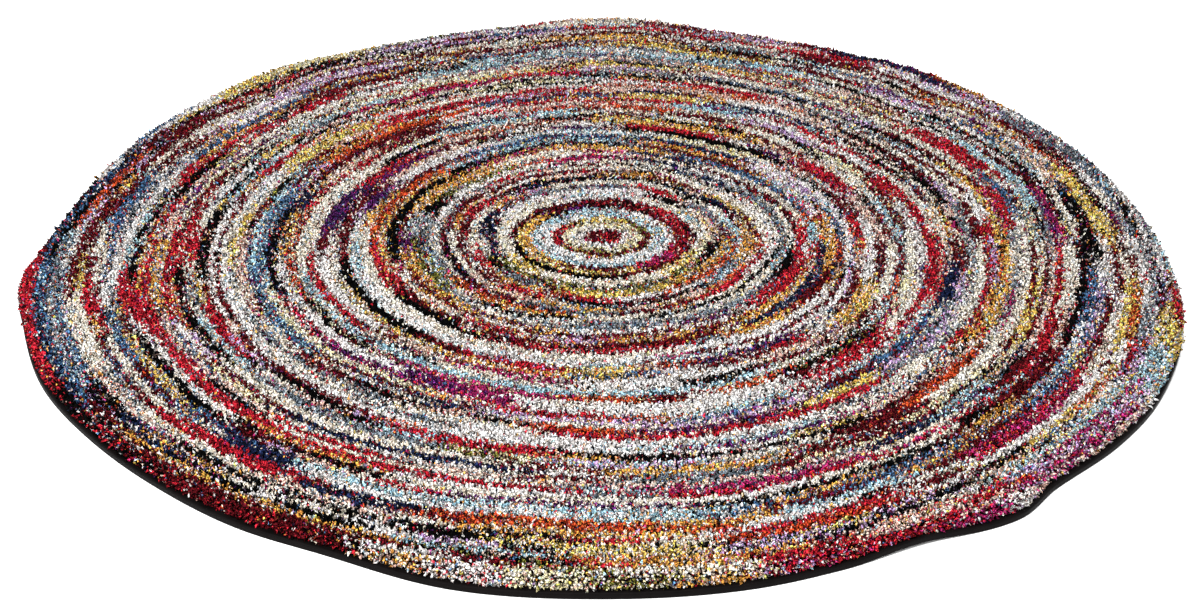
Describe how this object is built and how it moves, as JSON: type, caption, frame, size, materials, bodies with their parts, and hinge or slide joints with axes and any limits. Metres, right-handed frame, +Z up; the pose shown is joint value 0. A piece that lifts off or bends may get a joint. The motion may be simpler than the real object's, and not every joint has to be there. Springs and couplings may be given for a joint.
{
  "type": "round shag rug",
  "caption": "Round deep-pile shag rug with thin concentric rings of mixed coloured yarn and a black bound edge, lying flat on the floor.",
  "frame": {"origin": "middle of the rug's box on the floor, within 2 mm of the centre of its rings", "axes": "+Z up out of the pile, the front of the rug towards -Y"},
  "size_m": [1.605, 1.6238, 0.0415],
  "materials": {
    "pile_yarn": "twisted matt yarn in mixed colours with a soft sheen",
    "edge_tape": "close-woven black tape with a dull shine"
  },
  "bodies": {
    "root": {"pile_field": "pile_yarn", "edge_binding": "edge_tape"}
  },
  "joints": []
}
